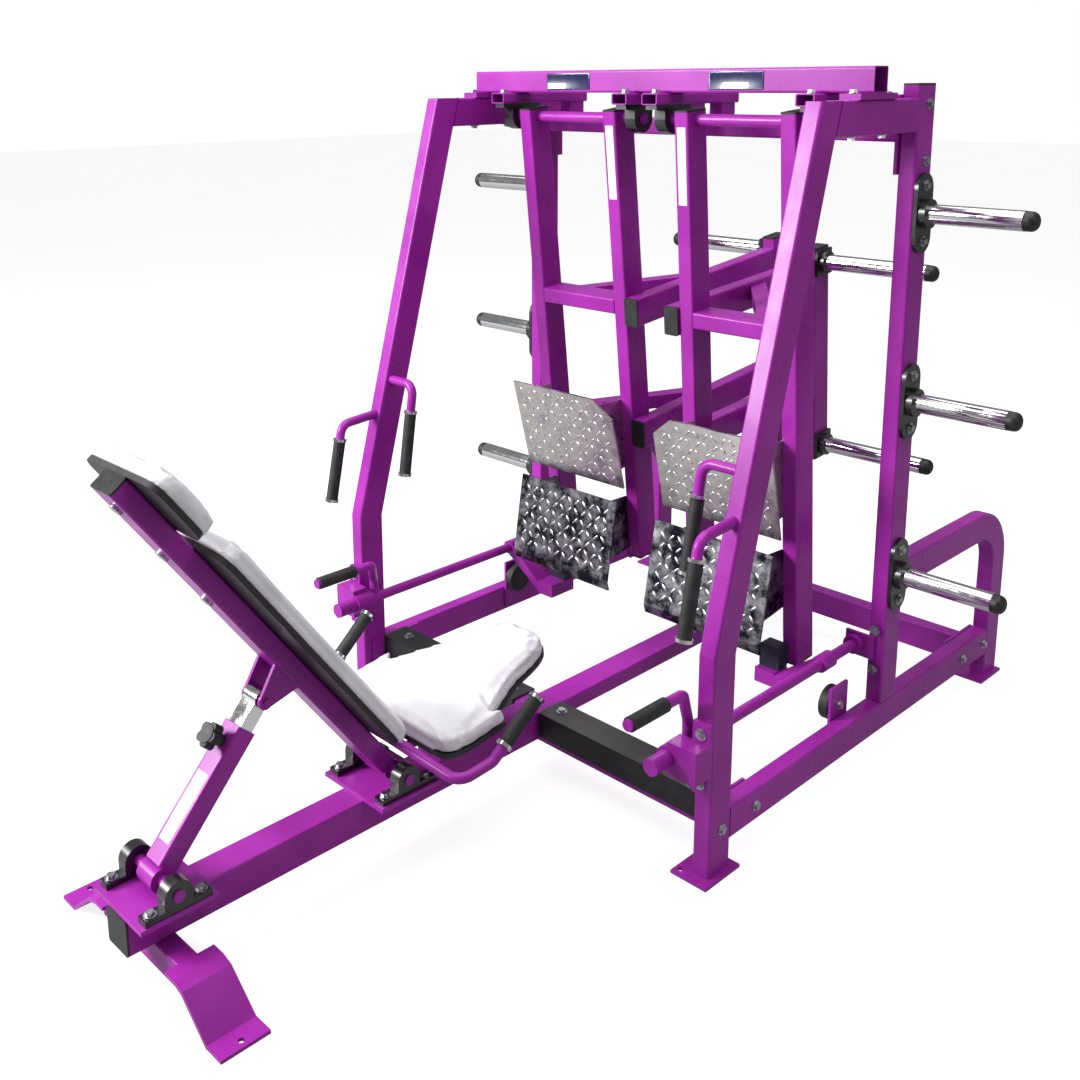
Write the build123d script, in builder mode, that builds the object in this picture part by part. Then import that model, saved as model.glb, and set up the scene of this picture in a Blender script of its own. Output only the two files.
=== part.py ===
"""Plate-loaded leg press with two swinging arms, a padded bench and a stop lever for each arm.

All sizes are in millimetres. +Z is up, +Y runs from the head rest towards the weights, and +X is
the user's right when lying on the bench. The origin is on the floor, in the middle of the footprint.
"""

import os
from math import atan2, cos, radians, sin, tan

from build123d import *

os.makedirs("parts", exist_ok=True)

# ---------------------------------------------------------------- overall sizes
overall_length = 2550.0  # bench end cap to the back of the rear legs
overall_height = 1791.0  # top of the head beam
frame_width = 1280.0  # over the side frames
horn_span = 1850.0  # tip to tip of the storage horns

# ---------------------------------------------------------------- stock and fits
tube_long = 80.0
tube_short = 45.0
tube_wall = 3.0
tube_corner = 6.0
floor_plate = 8.0
flange_plate = 8.0
cap_thick = 5.0
run_gap = 0.05  # radial clearance of a turning shaft or a sliding sleeve
soft_gap = 0.3  # room left around rubber and upholstery next to moving parts
horn_r = 24.0
horn_wall = 4.0
handle_r = 12.5
grip_r = 16.5

# ---------------------------------------------------------------- side frames
outer_x = frame_width / 2
inner_x = outer_x - tube_short
frame_x = outer_x - tube_short / 2  # middle of every side frame tube
post_y = -180.0  # front face of the front posts
post_back_y = post_y + tube_long
rail_z = 75.0
rail_top = rail_z + tube_long
rail_mid = rail_z + tube_long / 2
bend_z = 543.0
post_run = 322.0  # how far the post leans back by the top
head_tube = 60.0
saddle_thick = 14.0
frame_top = overall_height - head_tube - saddle_thick
beam_low = frame_top - tube_long
upright_y = post_y + 747.0
upright_back_y = upright_y + tube_long
upright_top = frame_top + 29.0
upright_mid_y = upright_y + tube_long / 2
leg_back_y = overall_length / 2
leg_y = leg_back_y - tube_long
arch_low = 455.0
arch_bend_r = 125.0
lean = atan2(post_run, frame_top - bend_z)

# ---------------------------------------------------------------- pivots of the arms
rail_stock = 30.0
rail_width = 50.0
pivot_y = post_y + 552.0
head_y = pivot_y
rail_under = overall_height - head_tube - rail_stock
pivot_drop = 37.0
pivot_z = rail_under - pivot_drop
shaft_r = 15.0
rail_front_y = pivot_y - 82.0
saddle_half = 82.0
pillow_width = 34.0
pillow_bolts = 110.0

# ---------------------------------------------------------------- arms
# lean of each arm while it rests on its stop
arm_leans = {"left": radians(6.4), "right": radians(4.8)}
arm_inside = 98.0
arm_outside = 457.0
arm_foot_z = 247.0  # height of the outer upright's foot at rest
arm_length = (pivot_z - arm_foot_z) / cos(arm_leans["left"])
arm_top = 26.0
upper_beam_z = -490.0
lower_beam_z = -arm_length + 575.0
column_y = 625.0
column_top = upper_beam_z + 28.0
column_foot = -arm_length + 295.0
arm_horn_tip = arm_outside + 10.0
arm_horn_drop = 41.0  # from the end of the column to the nearest horn
inner_rail_x = arm_inside - 48.0
outer_rail_x = arm_outside + 46.0
plate_thick = 6.0
tread_reach = 15.0  # how far a tread stands in past the uprights

# ---------------------------------------------------------------- stop levers
lock_x = inner_x - 33.0
lock_z = 304.0
lock_r = 14.0
lock_plate_z = 174.0
crank_tops = {"left": (84.0, 450.0), "right": (38.0, 470.0)}  # how far each crank leans to +X, and its height
crank_y = post_y - 58
crank_root_y = post_y + 14  # beside the post, just behind the bearing.0
lever_y = post_y + 588.0
lever_width = 50.0
pad_low = 230.0
pad_high = 295.0
pad_block = 40.0
pad_width = 60.0
bumper_r = 45.0
bumper_thick = 28.0
bumper_z = 185.0
bumper_y = post_y + 615.0

# ---------------------------------------------------------------- bench
bench_front_y = -overall_length / 2
bench_plate = 10.0
axle_z = rail_top + 45.0
axle_r = 12.5
back_axle_y = post_y - 415.0
strut_axle_y = bench_front_y + 90.0
back_angle = radians(53.5)
back_length = 1046.0
board_thick = 12.0
pad_thick = 36.0
pad_half = 150.0
clevis_from_top = 614.0
clevis_drop = 66.0
sleeve_side = 58.0
sleeve_depth = 50.0
sleeve_length = 326.0
bar_side = 46.0
bar_depth = 36.0
open_gap = 4.0  # radial room round the strut's upper pin
seat_angle = radians(8.0)
seat_y = post_y - 150.0
seat_top_z = 360.0
seat_pad_thick = 38.0
seat_board_thick = 12.0
stabilizer_y = bench_front_y + 85.0


block_half = 15.0
strut_block_x = 80.0
back_block_x = 85.0
# where each bench axle is, the distance of its blocks, their bolt spacing and the plate's half width
axles = ((strut_axle_y, strut_block_x, 114.0, 98.0), (back_axle_y, back_block_x, 120.0, 108.0))


# ---------------------------------------------------------------- helpers
def span(x, y, z):
    """Box between two limits on each axis."""
    (x0, x1), (y0, y1), (z0, z1) = sorted(x), sorted(y), sorted(z)
    with Locations(((x0 + x1) / 2, (y0 + y1) / 2, (z0 + z1) / 2)):
        Box(x1 - x0, y1 - y0, z1 - z0)


def bar(start, end, radius, bore=0.0, mode=Mode.ADD):
    """Round bar between two points, hollow when it is given a bore."""
    run = Vector(end) - Vector(start)
    with BuildSketch(Plane(origin=start, z_dir=run), mode=Mode.PRIVATE) as section:
        Circle(radius)
        if bore:
            Circle(bore, mode=Mode.SUBTRACT)
    extrude(section.sketch, amount=run.length, mode=mode)


def tube(start, end, width_dir, width, depth):
    """Hollow rectangular tube between two points; width is measured along width_dir."""
    run = Vector(end) - Vector(start)
    with BuildSketch(Plane(origin=start, x_dir=width_dir, z_dir=run), mode=Mode.PRIVATE) as section:
        RectangleRounded(width, depth, tube_corner)
        RectangleRounded(width - 2 * tube_wall, depth - 2 * tube_wall, tube_corner - tube_wall,
                         mode=Mode.SUBTRACT)
    extrude(section.sketch, amount=run.length)


def plug(start, end, width_dir, width, depth):
    """Solid end cap of the tube's outer section."""
    run = Vector(end) - Vector(start)
    with BuildSketch(Plane(origin=start, x_dir=width_dir, z_dir=run), mode=Mode.PRIVATE) as section:
        RectangleRounded(width, depth, tube_corner)
    extrude(section.sketch, amount=run.length)


def bent_tube(points, bend_r, width_dir, width, depth):
    """Hollow rectangular tube along straight runs, mitred or bent at the corners."""
    with BuildLine(mode=Mode.PRIVATE) as path:
        if bend_r:
            FilletPolyline(*points, radius=bend_r)
        else:
            Polyline(*points)
    run = Vector(points[1]) - Vector(points[0])
    with BuildSketch(Plane(origin=points[0], x_dir=width_dir, z_dir=run), mode=Mode.PRIVATE) as section:
        RectangleRounded(width, depth, tube_corner)
        RectangleRounded(width - 2 * tube_wall, depth - 2 * tube_wall, tube_corner - tube_wall,
                         mode=Mode.SUBTRACT)
    sweep(section.sketch, path=path.line, transition=Transition.RIGHT)


def bent_bar(points, bend_r, radius):
    """Solid round bar along straight runs with bent corners."""
    with BuildLine(mode=Mode.PRIVATE) as path:
        FilletPolyline(*points, radius=bend_r)
    run = Vector(points[1]) - Vector(points[0])
    with BuildSketch(Plane(origin=points[0], z_dir=run), mode=Mode.PRIVATE) as section:
        Circle(radius)
    sweep(section.sketch, path=path.line)


def slab(plane, points, amount, mode=Mode.ADD):
    """Polygon on a plane, extruded along the plane's normal."""
    with BuildSketch(plane, mode=Mode.PRIVATE) as section:
        with BuildLine():
            Polyline(*points, close=True)
        make_face()
    extrude(section.sketch, amount=amount, mode=mode)


def bolt(at, direction, size=1.0):
    """Washer and hexagon head seated on a face."""
    seat = Plane(origin=at, z_dir=direction)
    with BuildSketch(seat, mode=Mode.PRIVATE) as washer:
        Circle(16 * size)
    extrude(washer.sketch, amount=2.5 * size)
    with BuildSketch(seat.offset(2.5 * size), mode=Mode.PRIVATE) as head:
        RegularPolygon(11 * size, 6)
    extrude(head.sketch, amount=8 * size)


def yz(x):
    """Plane across the machine whose local x is +Y and local y is +Z."""
    return Plane(origin=(x, 0, 0), x_dir=(0, 1, 0), z_dir=(1, 0, 0))


sides = (-1, 1)
pieces = {}

# ================================================================ side frames
with BuildPart() as frame_plates:
    for side in sides:
        # floor plates under the post and the rear leg, each with an anchor hole
        for y0, y1, hole_y in ((post_y - 30, post_back_y + 20, post_y - 12),
                               (leg_y - 45, leg_back_y, leg_y - 25)):
            span((side * (frame_x - 60), side * (frame_x + 38)), (y0, y1), (0, floor_plate))
            hole_x = side * (frame_x - 45)
            bar((hole_x, hole_y, -1), (hole_x, hole_y, floor_plate + 1), 7, mode=Mode.SUBTRACT)
        # bracket for the rubber bumper, on the inner face of the rail
        span((side * (inner_x - flange_plate), side * inner_x), (bumper_y - 40, bumper_y + 40),
             (rail_z + 15, bumper_z + 55))
    # plates on the bench beam under the two hinges
    for axle_y, block_x, bolt_step, half in axles:
        span((-half, half), (axle_y - 87, axle_y + 87), (rail_top, rail_top + bench_plate))

with BuildPart() as front_posts:
    knee_y = post_y + tube_long / 2
    knee_z = bend_z - tan(lean / 2) * tube_long / 2
    reach = (frame_top + 60 - knee_z) / cos(lean)
    for side in sides:
        knee = Vector(side * frame_x, knee_y, knee_z)
        top = knee + Vector(0, sin(lean), cos(lean)) * reach
        foot = (side * frame_x, knee_y, floor_plate)
        bent_tube([foot, knee, top], 0, (1, 0, 0), tube_short, tube_long)
    split(bisect_by=Plane.XY.offset(frame_top), keep=Keep.BOTTOM)


def post_mid(z):
    """Middle of the leaning post at a height."""
    return knee_y + max(0.0, z - knee_z) * tan(lean)


half_depth = tube_long / 2 / cos(lean)
with BuildPart() as top_side_beams:
    for side in sides:
        start = (side * frame_x, post_mid(frame_top), beam_low + tube_long / 2)
        tube(start, (side * frame_x, upright_y, start[2]), (1, 0, 0), tube_short, tube_long)
    # the front end follows the slope of the post
    for side in sides:
        under, over = beam_low - 9, frame_top + 9
        slope = [(post_mid(under) - 200, under), (post_mid(under) + half_depth, under),
                 (post_mid(over) + half_depth, over), (post_mid(over) - 200, over)]
        slab(yz(side * frame_x - 40), slope, 80, mode=Mode.SUBTRACT)

with BuildPart() as rear_uprights:
    for side in sides:
        tube((side * frame_x, upright_mid_y, rail_top), (side * frame_x, upright_mid_y, upright_top),
             (1, 0, 0), tube_short, tube_long)

with BuildPart() as side_rails:
    for side in sides:
        tube((side * frame_x, post_back_y, rail_mid), (side * frame_x, leg_y, rail_mid),
             (1, 0, 0), tube_short, tube_long)

with BuildPart() as rear_arches:
    arch_z = arch_low + tube_long / 2
    for side in sides:
        leg_mid = leg_y + tube_long / 2
        bent_tube([(side * frame_x, upright_back_y, arch_z), (side * frame_x, leg_mid, arch_z),
                   (side * frame_x, leg_mid, floor_plate)], arch_bend_r, (1, 0, 0), tube_short, tube_long)

# ================================================================ cross members
with BuildPart() as head_beam:
    head_z = overall_height - head_tube / 2
    tube((-outer_x - 5, head_y, head_z), (outer_x + 5, head_y, head_z), (0, 1, 0), head_tube, head_tube)
    for side in sides:
        span((side * (inner_x - 4), side * (outer_x + 4)), (head_y - saddle_half, head_y + saddle_half),
             (frame_top, frame_top + saddle_thick))

with BuildPart() as badge_plates:
    for side in sides:
        span((side * 197, side * 357), (head_y - head_tube / 2 - 2, head_y - head_tube / 2),
             (overall_height - 52, overall_height - 8))

rear_beam_top = frame_top - 60.0
rail_xs = [side * x for side in sides for x in (inner_rail_x, outer_rail_x)]
with BuildPart() as pivot_rails:
    for x in rail_xs:
        level = rail_under + rail_stock / 2
        tube((x, rail_front_y, level), (x, upright_back_y, level), (1, 0, 0), rail_width, rail_stock)
        span((x - 20, x + 20), (upright_y + 10, upright_back_y - 10), (rear_beam_top, rail_under))

plate_x = inner_x - flange_plate
with BuildPart() as rear_top_beam:
    beam_mid_z = rear_beam_top - tube_short / 2
    tube((-plate_x, upright_mid_y, beam_mid_z), (plate_x, upright_mid_y, beam_mid_z),
         (0, 1, 0), tube_long, tube_short)
    for side in sides:
        span((side * plate_x, side * inner_x), (upright_mid_y - 48, upright_mid_y + 48),
             (frame_top - 182, frame_top + 8))

rear_base_y = leg_y - 108.0
with BuildPart() as rear_base_beam:
    mid_y = rear_base_y + tube_short / 2
    tube((-plate_x, mid_y, rail_mid), (plate_x, mid_y, rail_mid), (0, 1, 0), tube_short, tube_long)
    for side in sides:
        span((side * plate_x, side * inner_x), (rear_base_y - 62, rear_base_y + tube_short + 62),
             (rail_z, rail_top))

front_base_y = post_back_y - 8.0
with BuildPart() as front_base_beam:
    mid_y = front_base_y + tube_long / 2
    tube((-plate_x, mid_y, rail_mid), (plate_x, mid_y, rail_mid), (0, 1, 0), tube_long, tube_long)
    for side in sides:
        span((side * plate_x, side * inner_x), (front_base_y - 47, front_base_y + tube_long + 47),
             (rail_z, rail_top))

cover_inside = tube_long / 2 + 8
with BuildPart() as step_covers:
    for side in sides:
        for y0, y1, z0 in ((front_base_y - 5, front_base_y + tube_long, rail_top),
                           (front_base_y - 5, front_base_y, rail_z + 18)):
            span((side * cover_inside, side * plate_x), (y0, y1), (z0, rail_top + 5))

with BuildPart() as spine_beams:
    # one beam runs back from the front cross member and the other carries the bench
    low = rail_z + 30
    tube((0, front_base_y + tube_long, low + tube_short / 2), (0, rear_base_y, low + tube_short / 2),
         (1, 0, 0), tube_long, tube_short)
    tube((0, bench_front_y + cap_thick, rail_mid), (0, front_base_y, rail_mid), (1, 0, 0), tube_long,
         tube_long)

with BuildPart() as stabilizer:
    tube((-190, stabilizer_y, rail_z - 30), (190, stabilizer_y, rail_z - 30), (0, 1, 0), 50, 60)
    wing = 8.0
    for side in sides:
        outline = [(130, rail_z), (162, rail_z), (190, rail_z - 9), (272, 0), (326, 0), (326, wing),
                   (276, wing), (194, rail_z), (164, rail_z + wing), (130, rail_z + wing)]
        profile = [(side * x, z) for x, z in outline]
        wing_plane = Plane(origin=(0, stabilizer_y + 55, 0), x_dir=(1, 0, 0), z_dir=(0, -1, 0))
        slab(wing_plane, profile, 110)
        hole = (side * 309, stabilizer_y, -1)
        bar(hole, (side * 309, stabilizer_y, wing + 1), 7, mode=Mode.SUBTRACT)

# ================================================================ storage horns
horn_zs = (508.0, 970.0, 1442.0)
horn_spots = [(side, z) for side in sides for z in horn_zs]
flange_base = 10.0
flange_boss = 18.0
horn_root = outer_x + flange_base + flange_boss
horn_cap = 30.0
horn_dome = 16.0
cap_r = horn_r - 0.6


def domed_cap(root, side):
    """Rounded plastic cap on the end of a horn."""
    with BuildSketch(Plane(origin=root, x_dir=(side, 0, 0), z_dir=(0, 1, 0)), mode=Mode.PRIVATE) as half:
        with BuildLine():
            Polyline((0, 0), (0, cap_r), (horn_cap - horn_dome, cap_r))
            RadiusArc((horn_cap - horn_dome, cap_r), (horn_cap, cap_r - horn_dome), horn_dome)
            Polyline((horn_cap, cap_r - horn_dome), (horn_cap, 0), (0, 0))
        make_face()
    revolve(half.sketch, axis=Axis(root, (side, 0, 0)))


with BuildPart() as storage_horn_flanges:
    for side, z in horn_spots:
        face = Plane(origin=(side * outer_x, upright_mid_y, z), x_dir=(0, 1, 0), z_dir=(side, 0, 0))
        with BuildSketch(face):
            SlotOverall(195, 78, rotation=90)
        extrude(amount=flange_base)
        with BuildSketch(face.offset(flange_base)):
            Circle(36)
        extrude(amount=flange_boss)

with BuildPart() as storage_horns:
    for side, z in horn_spots:
        bar((side * horn_root, upright_mid_y, z), (side * (horn_span / 2 - horn_cap), upright_mid_y, z),
            horn_r, horn_r - horn_wall)

# ================================================================ bearings of the arms
with BuildPart() as arm_pillow_blocks:
    for x in rail_xs:
        foot = pillow_bolts / 2 + 18
        span((x - pillow_width / 2, x + pillow_width / 2), (pivot_y - foot, pivot_y + foot),
             (rail_under - 12, rail_under))
        span((x - pillow_width / 2, x + pillow_width / 2), (pivot_y - 37, pivot_y + 37),
             (pivot_z, rail_under - 12))
        bar((x - pillow_width / 2, pivot_y, pivot_z), (x + pillow_width / 2, pivot_y, pivot_z), 37)
        bar((x - pillow_width, pivot_y, pivot_z), (x + pillow_width, pivot_y, pivot_z), shaft_r + run_gap,
            mode=Mode.SUBTRACT)

# ================================================================ bearings of the stop levers
rod_bore = lock_r + run_gap
lock_bolt_x = frame_x
with BuildPart() as lock_bearings:
    for side in sides:
        # front: flange on the post and a cast housing beside it
        span((side * inner_x, side * outer_x), (post_y - 12, post_y), (lock_z - lock_plate_z / 2,
             lock_z + lock_plate_z / 2))
        span((side * lock_x, side * outer_x), (post_y - 60, post_y - 12), (lock_z - 40, lock_z + 40))
        span((side * lock_x, side * inner_x), (post_y - 14, post_y), (lock_z - 28, lock_z + 28))
        bar((side * lock_x, post_y - 60, lock_z), (side * lock_x, post_y, lock_z), 28)
        # rear: plate on the upright with a boss
        span((side * (lock_x - 28), side * (inner_x + 20)), (upright_y - 8, upright_y),
             (lock_z - 32, lock_z + 32))
        bar((side * lock_x, upright_y - 26, lock_z), (side * lock_x, upright_y - 8, lock_z), 25)
        bar((side * lock_x, post_y - 80, lock_z), (side * lock_x, upright_y + 20, lock_z), rod_bore,
            mode=Mode.SUBTRACT)

with BuildPart() as bumper_discs:
    for side in sides:
        face_x = inner_x - flange_plate
        bar((side * face_x, bumper_y, bumper_z), (side * (face_x - bumper_thick), bumper_y, bumper_z),
            bumper_r)
    fillet(bumper_discs.edges().filter_by(GeomType.CIRCLE), 4)

# ================================================================ bench
block_floor = rail_top + bench_plate
with BuildPart() as bench_bearings:
    for axle_y, block_x, bolt_step, half in axles:
        for side in sides:
            x = side * block_x
            foot = bolt_step / 2 + 18
            span((x - block_half, x + block_half), (axle_y - foot, axle_y + foot),
                 (block_floor, block_floor + 14))
            span((x - block_half, x + block_half), (axle_y - 32, axle_y + 32), (block_floor + 14, axle_z))
            bar((x - block_half, axle_y, axle_z), (x + block_half, axle_y, axle_z), 32)
            bar((x - 30, axle_y, axle_z), (x + 30, axle_y, axle_z), axle_r + run_gap, mode=Mode.SUBTRACT)

# seat: the board and the pad share one outline, narrow at the knees and wide at the hips
seat_top = Plane(origin=(0, seat_y, seat_top_z), x_dir=(1, 0, 0),
                 z_dir=(0, -sin(seat_angle), cos(seat_angle)))
seat_front = 225.0
seat_back = -250.0
seat_line = [(0, seat_front), (70, seat_front - 16), (103, seat_front - 70), (125, 60), (160, -30),
             (200, -90), (215, -150)]
seat_tail = [(215, -150), (215, seat_back + 20), (200, seat_back), (150, seat_back)]


with BuildPart() as seat_pad:
    with BuildSketch(seat_top.offset(-seat_pad_thick)) as seat_sketch:
        with BuildLine():
            Spline(*seat_line, tangents=((1, 0), (0, -1)))
            Bezier(*seat_tail)
            Line(seat_tail[-1], (0, seat_back))
            mirror(about=Plane.YZ)
        make_face()
    extrude(amount=seat_pad_thick)

with BuildPart() as seat_board:
    with BuildSketch(seat_top.offset(-seat_pad_thick - seat_board_thick)) as board_sketch:
        with BuildLine():
            Spline(*seat_line, tangents=((1, 0), (0, -1)))
            Bezier(*seat_tail)
            Line(seat_tail[-1], (0, seat_back))
            mirror(about=Plane.YZ)
        make_face()
    extrude(amount=seat_board_thick)


def seat_point(x, along, down):
    """Point under the seat: along it from its middle, and down from its top."""
    return seat_top.from_local_coords(Vector(x, along, -down))


under_seat = seat_pad_thick + seat_board_thick
handle_y = seat_y - 278.0
handle_z = 293.0
grip_start = (300.0, post_y - 340.0, 300.0)
grip_end = (307.0, post_y - 205.0, 409.0)
with BuildPart() as seat_bracket:
    with BuildSketch(seat_top.offset(-under_seat)):
        with Locations((0, -40)):
            Rectangle(180, 330)
    extrude(amount=-6)
    foot_y0, foot_y1 = seat_y - 120, seat_y + 40
    slab(yz(-tube_long / 2), [(foot_y0, rail_top), (foot_y1, rail_top),
                              (foot_y1, seat_point(0, 41, under_seat + 5).Z),
                              (foot_y0, seat_point(0, -121, under_seat + 5).Z)], tube_long)

# handles on the posts: one in front of the post, one on its inner face
front_handle = [(post_mid(833) - half_depth, 833.0), (post_y - 38, 824.0), (post_y - 84, 606.0)]
inner_handle_y = post_mid(930) - 20


def inner_handle(side):
    """Bend and lower end of the handle inside a post."""
    return [(side * 500, inner_handle_y, 930), (side * 494, inner_handle_y - 44, 672)]


with BuildPart() as grab_handles:
    # one bar under the seat with a handle at each hip
    bent_bar([(-grip_end[0], grip_end[1], grip_end[2]), (-grip_start[0], grip_start[1], grip_start[2]),
              (-285, handle_y, handle_z - 12), (0, handle_y, handle_z),
              (285, handle_y, handle_z - 12), grip_start, grip_end], 38, handle_r)
    near, far = seat_point(0, -120, under_seat + 6.1), seat_point(0, -200, under_seat + 6.1)
    hanger = [(near.Y, near.Z), (far.Y, far.Z), (handle_y + 36, far.Z - 5), (handle_y + 6, handle_z - 8),
              (handle_y + 6, handle_z - 16), (handle_y + 28, far.Z - 20), (far.Y, far.Z - 30),
              (near.Y, near.Z - 34)]
    for x in (-70, 62):
        slab(yz(x), hanger, 8)
    for side in sides:
        root = (side * frame_x, front_handle[0][0] + 10, front_handle[0][1])
        bent_bar([root] + [(side * frame_x, y, z) for y, z in front_handle[1:]], 32, handle_r)
        bent_bar([(side * inner_x, inner_handle_y, 930)] + inner_handle(side), 32, handle_r)
        # the front handle is cut to the slope of the post
        low, high = front_handle[0][1] - 60, front_handle[0][1] + 60
        slope = [(post_mid(z) + shift, z)
                 for z, shift in ((low, -half_depth), (high, -half_depth), (high, 0), (low, 0))]
        slab(yz(side * frame_x - tube_short / 2), slope, tube_short, mode=Mode.SUBTRACT)


def grip_span(a, b, from_end, length):
    """Start and end of a grip that sits from_end back from b on the line a-b."""
    a, b = Vector(a), Vector(b)
    along = (b - a).normalized()
    return b - along * (from_end + length), b - along * from_end


grip_lines = []
for side in sides:
    front_a, front_b = [(side * frame_x, y, z) for y, z in front_handle[1:]]
    grip_lines.append(grip_span(front_a, front_b, 10, 165))
    grip_lines.append(grip_span(*inner_handle(side), 10, 170))
    grip_lines.append(grip_span((side * grip_start[0], grip_start[1], grip_start[2]),
                                (side * grip_end[0], grip_end[1], grip_end[2]), 8, 118))
with BuildPart() as handle_grips:
    for low_end, high_end in grip_lines:
        bar(low_end, high_end, grip_r, handle_r + run_gap)

with BuildPart() as handle_collars:
    for low_end, high_end in grip_lines:
        along = (high_end - low_end).normalized()
        bar(high_end, high_end + along * 8, grip_r + 2.5, handle_r + run_gap)
        bar(low_end - along * 8, low_end, grip_r + 2.5, handle_r + run_gap)

# ================================================================ fasteners and caps on the frame
bolt_spots = []
for side in sides:
    out = (side, 0, 0)
    for y in (front_base_y - 27, front_base_y + tube_long + 27, rear_base_y - 44,
              rear_base_y + tube_short + 44):
        bolt_spots.append(((side * outer_x, y, rail_mid), out))
    for z in (frame_top - 14, frame_top - 149):
        bolt_spots.append(((side * outer_x, upright_mid_y + 8, z), out))
    for y in (head_y - 68, head_y + 68):
        bolt_spots.append(((side * frame_x, y, frame_top + saddle_thick), (0, 0, 1)))
        bolt_spots.append(((side * frame_x, y, beam_low), (0, 0, -1)))
    for z in (lock_z - 60, lock_z + 60):
        bolt_spots.append(((side * lock_bolt_x, post_y - 12, z), (0, -1, 0)))
    for z in (lock_z - 55, lock_z + 55):
        bolt_spots.append(((side * lock_bolt_x, upright_y - 12, z), (0, -1, 0)))
    bolt_spots.append(((side * inner_x, bumper_y, bumper_z), out))
    for x in (cover_inside + 40, plate_x - 60):
        bolt_spots.append(((side * x, front_base_y + tube_long / 2, rail_top + 5), (0, 0, 1)))
    for axle_y, block_x, bolt_step, half in axles:
        for step in (-bolt_step / 2, bolt_step / 2):
            bolt_spots.append(((side * block_x, axle_y + step, block_floor + 14), (0, 0, 1)))
for side, z in horn_spots:
    for step in (-68, 68):
        bolt_spots.append(((side * (outer_x + flange_base), upright_mid_y, z + step), (side, 0, 0)))
for x in rail_xs:
    for step in (-pillow_bolts / 2, pillow_bolts / 2):
        bolt_spots.append(((x, pivot_y + step, overall_height - head_tube), (0, 0, 1)))
with BuildPart() as frame_bolts:
    for at, direction in bolt_spots:
        bolt(at, direction, 0.85)

with BuildPart() as frame_end_caps:
    plug((0, bench_front_y, rail_mid), (0, bench_front_y + cap_thick, rail_mid), (1, 0, 0), tube_long,
         tube_long)
    for side in sides:
        base = Vector(side * frame_x, upright_mid_y, upright_top)
        plug(base, base + Vector(0, 0, cap_thick), (1, 0, 0), tube_short, tube_long)
    for side, z in horn_spots:
        tip = Vector(side * horn_span / 2, upright_mid_y, z)
        domed_cap(tip - Vector(side * horn_cap, 0, 0), side)

# ================================================================ back rest
up = Vector(0, -cos(back_angle), sin(back_angle))
face = Vector(0, sin(back_angle), cos(back_angle))
back_axle = Vector(0, back_axle_y, axle_z)
back_top = back_axle + up * back_length


def on_back(x, from_top, out):
    """Point on the back rest: down from its top, and out from the tube's centre line."""
    return back_top - up * from_top + face * out + Vector(x, 0, 0)


tube_front = tube_short / 2
clevis_pin = on_back(0, clevis_from_top, -tube_front - clevis_drop)
with BuildPart() as backrest_tube:
    tube(back_axle + up * 16, back_top, (1, 0, 0), tube_long, tube_short)
    bar(back_axle - Vector(tube_long / 2, 0, 0), back_axle + Vector(tube_long / 2, 0, 0), tube_front)
    bar(back_axle - Vector(back_block_x + block_half + 4, 0, 0),
        back_axle + Vector(back_block_x + block_half + 4, 0, 0), axle_r)

clevis_half = bar_side / 2 + 3
with BuildPart() as strut_clevis:
    for side in sides:
        root = on_back(side * clevis_half, clevis_from_top, -tube_front)
        ear = Plane(origin=root, x_dir=up, z_dir=(side, 0, 0))
        towards = 1 if ear.from_local_coords(Vector(0, 1, 0)).Z < root.Z else -1
        with BuildSketch(ear):
            with BuildLine():
                Polyline((-45, 0), (45, 0), (18, towards * clevis_drop), (-18, towards * clevis_drop),
                         close=True)
            make_face()
            with Locations((0, towards * clevis_drop)):
                Circle(18)
        extrude(amount=8)
    bar(clevis_pin - Vector(clevis_half + 14, 0, 0), clevis_pin + Vector(clevis_half + 14, 0, 0), 8)

pad_base = tube_front + board_thick
head_s = (-15.0, 165.0)
back_s = (206.0, 925.0)


def pad_plane(out):
    """Plane over the tube's front with its origin at the top and local y running down."""
    return Plane(origin=on_back(0, 0, out), x_dir=(1, 0, 0), z_dir=face)


def pad_shape(rows, inset, plane, amount, corner):
    """Rounded pad between two distances from the top."""
    height = rows[1] - rows[0] - 2 * inset
    with BuildSketch(plane, mode=Mode.PRIVATE) as section:
        with Locations((0, (rows[0] + rows[1]) / 2)):
            RectangleRounded(2 * (pad_half - inset), height, corner)
    extrude(section.sketch, amount=amount)


with BuildPart() as pad_boards:
    for rows in (head_s, back_s):
        pad_shape(rows, 7, pad_plane(tube_front), board_thick, 40)

with BuildPart() as head_pad:
    pad_shape(head_s, 0, pad_plane(pad_base), pad_thick, 50)

with BuildPart() as back_pad:
    pad_shape(back_s, 0, pad_plane(pad_base), pad_thick, 35)

with BuildPart() as backrest_fittings:
    plug(back_top, back_top + up * cap_thick, (1, 0, 0), tube_long, tube_short)
    for s in (49, 196, 348):
        at = on_back(0, s, -tube_front)
        bar(at, at - face * 6, 15)

# ================================================================ strut of the back rest
strut_axle = Vector(0, strut_axle_y, axle_z)
strut_run = clevis_pin - strut_axle
strut_dir = strut_run.normalized()
bar_start = 130.0
with BuildPart() as strut_sleeve:
    lower = strut_axle + strut_dir * 22
    with BuildSketch(Plane(origin=lower, x_dir=(1, 0, 0), z_dir=strut_dir)):
        RectangleRounded(sleeve_side, sleeve_depth, tube_corner)
        RectangleRounded(bar_side + 2 * run_gap, bar_depth + 2 * run_gap, 2, mode=Mode.SUBTRACT)
    extrude(amount=sleeve_length - 22)
    bar(strut_axle - Vector(sleeve_side / 2, 0, 0), strut_axle + Vector(sleeve_side / 2, 0, 0), 26)
    bar(strut_axle - Vector(strut_block_x + block_half + 4, 0, 0),
        strut_axle + Vector(strut_block_x + block_half + 4, 0, 0), axle_r)

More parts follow.
